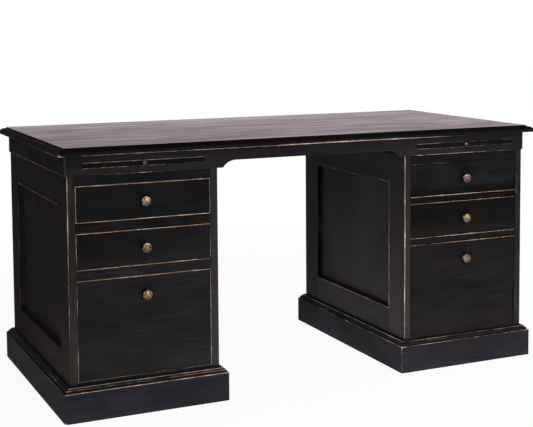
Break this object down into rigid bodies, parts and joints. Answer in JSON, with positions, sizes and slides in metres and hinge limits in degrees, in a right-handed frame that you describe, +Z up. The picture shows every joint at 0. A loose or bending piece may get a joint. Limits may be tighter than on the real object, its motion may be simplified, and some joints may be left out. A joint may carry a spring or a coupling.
{
  "type": "partners desk",
  "caption": "Painted pedestal desk for two facing sitters: moulded top, frieze with pull-out slides, one pedestal of drawers and one cupboard to each side, kneehole between.",
  "frame": {"origin": "on the floor under the middle of the desk", "axes": "+X along the desk's length to the right as seen from the front, -Y the front, +Z up"},
  "size_m": [1.6, 0.8, 0.78],
  "materials": {
    "stained_top": "dark stained board with a satin sheen and rubbed edges",
    "black_paint": "satin black paint, rubbed through to tan wood on the edges",
    "bare_wood": "unpainted softwood, lightly waxed",
    "aged_brass": "aged brass with a dull polish",
    "black_iron": "steel hinge painted black with the wood"
  },
  "bodies": {
    "desk": {"edge_moulding_front": "black_paint", "edge_moulding_left": "black_paint", "edge_moulding_rear": "black_paint", "edge_moulding_right": "black_paint", "frame_hinge_leaves": "black_iron", "frieze_front": "black_paint", "frieze_left_end": "black_paint", "frieze_rear": "black_paint", "frieze_right_end": "black_paint", "left_pedestal_base_board": "black_paint", "left_pedestal_centre_divider": "bare_wood", "left_pedestal_inner_side": "black_paint", "left_pedestal_lower_rail": "black_paint", "left_pedestal_outer_side": "black_paint", "left_pedestal_plinth": "black_paint", "left_pedestal_top_board": "black_paint", "left_pedestal_upper_rail": "black_paint", "right_pedestal_base_board": "black_paint", "right_pedestal_centre_divider": "bare_wood", "right_pedestal_inner_side": "black_paint", "right_pedestal_lower_rail": "black_paint", "right_pedestal_outer_side": "black_paint", "right_pedestal_plinth": "black_paint", "right_pedestal_top_board": "black_paint", "right_pedestal_upper_rail": "black_paint", "slide_bed_left": "bare_wood", "slide_bed_right": "bare_wood", "top_field": "stained_top"},
    "front_upper_drawer": {"front_upper_drawer_box": "bare_wood", "front_upper_drawer_front": "black_paint", "front_upper_drawer_knob": "aged_brass"},
    "front_middle_drawer": {"front_middle_drawer_box": "bare_wood", "front_middle_drawer_front": "black_paint", "front_middle_drawer_knob": "aged_brass"},
    "front_deep_drawer": {"front_deep_drawer_box": "bare_wood", "front_deep_drawer_front": "black_paint", "front_deep_drawer_knob": "aged_brass"},
    "front_left_slide": {"front_left_slide": "black_paint", "front_left_slide_knob": "aged_brass"},
    "front_right_slide": {"front_right_slide": "black_paint", "front_right_slide_knob": "aged_brass"},
    "front_door": {"front_door": "black_paint", "front_door_hinge_leaves": "black_iron", "front_door_knobs": "aged_brass"},
    "rear_upper_drawer": {"rear_upper_drawer_box": "bare_wood", "rear_upper_drawer_front": "black_paint", "rear_upper_drawer_knob": "aged_brass"},
    "rear_middle_drawer": {"rear_middle_drawer_box": "bare_wood", "rear_middle_drawer_front": "black_paint", "rear_middle_drawer_knob": "aged_brass"},
    "rear_deep_drawer": {"rear_deep_drawer_box": "bare_wood", "rear_deep_drawer_front": "black_paint", "rear_deep_drawer_knob": "aged_brass"},
    "rear_left_slide": {"rear_left_slide": "black_paint", "rear_left_slide_knob": "aged_brass"},
    "rear_right_slide": {"rear_right_slide": "black_paint", "rear_right_slide_knob": "aged_brass"},
    "rear_door": {"rear_door": "black_paint", "rear_door_hinge_leaves": "black_iron", "rear_door_knobs": "aged_brass"}
  },
  "joints": [
    {"name": "front_upper_drawer_slide", "type": "slide", "parent": "desk", "child": "front_upper_drawer", "axis": [0, -1, 0], "range_m": [0, 0.25]},
    {"name": "front_middle_drawer_slide", "type": "slide", "parent": "desk", "child": "front_middle_drawer", "axis": [0, -1, 0], "range_m": [0, 0.25]},
    {"name": "front_deep_drawer_slide", "type": "slide", "parent": "desk", "child": "front_deep_drawer", "axis": [0, -1, 0], "range_m": [0, 0.25]},
    {"name": "front_left_slide_pull", "type": "slide", "parent": "desk", "child": "front_left_slide", "axis": [0, -1, 0], "range_m": [0, 0.26]},
    {"name": "front_right_slide_pull", "type": "slide", "parent": "desk", "child": "front_right_slide", "axis": [0, -1, 0], "range_m": [0, 0.26]},
    {"name": "front_door_hinge", "type": "hinge", "parent": "desk", "child": "front_door", "pos_m": [0.7472, -0.3713, 0.3895], "axis": [0, 0, 1], "range_deg": [0, 170]},
    {"name": "rear_upper_drawer_slide", "type": "slide", "parent": "desk", "child": "rear_upper_drawer", "axis": [0, 1, 0], "range_m": [0, 0.25]},
    {"name": "rear_middle_drawer_slide", "type": "slide", "parent": "desk", "child": "rear_middle_drawer", "axis": [0, 1, 0], "range_m": [0, 0.25]},
    {"name": "rear_deep_drawer_slide", "type": "slide", "parent": "desk", "child": "rear_deep_drawer", "axis": [0, 1, 0], "range_m": [0, 0.25]},
    {"name": "rear_left_slide_pull", "type": "slide", "parent": "desk", "child": "rear_left_slide", "axis": [0, 1, 0], "range_m": [0, 0.26]},
    {"name": "rear_right_slide_pull", "type": "slide", "parent": "desk", "child": "rear_right_slide", "axis": [0, 1, 0], "range_m": [0, 0.26]},
    {"name": "rear_door_hinge", "type": "hinge", "parent": "desk", "child": "rear_door", "pos_m": [-0.7472, 0.3713, 0.3895], "axis": [0, 0, 1], "range_deg": [0, 170]}
  ]
}
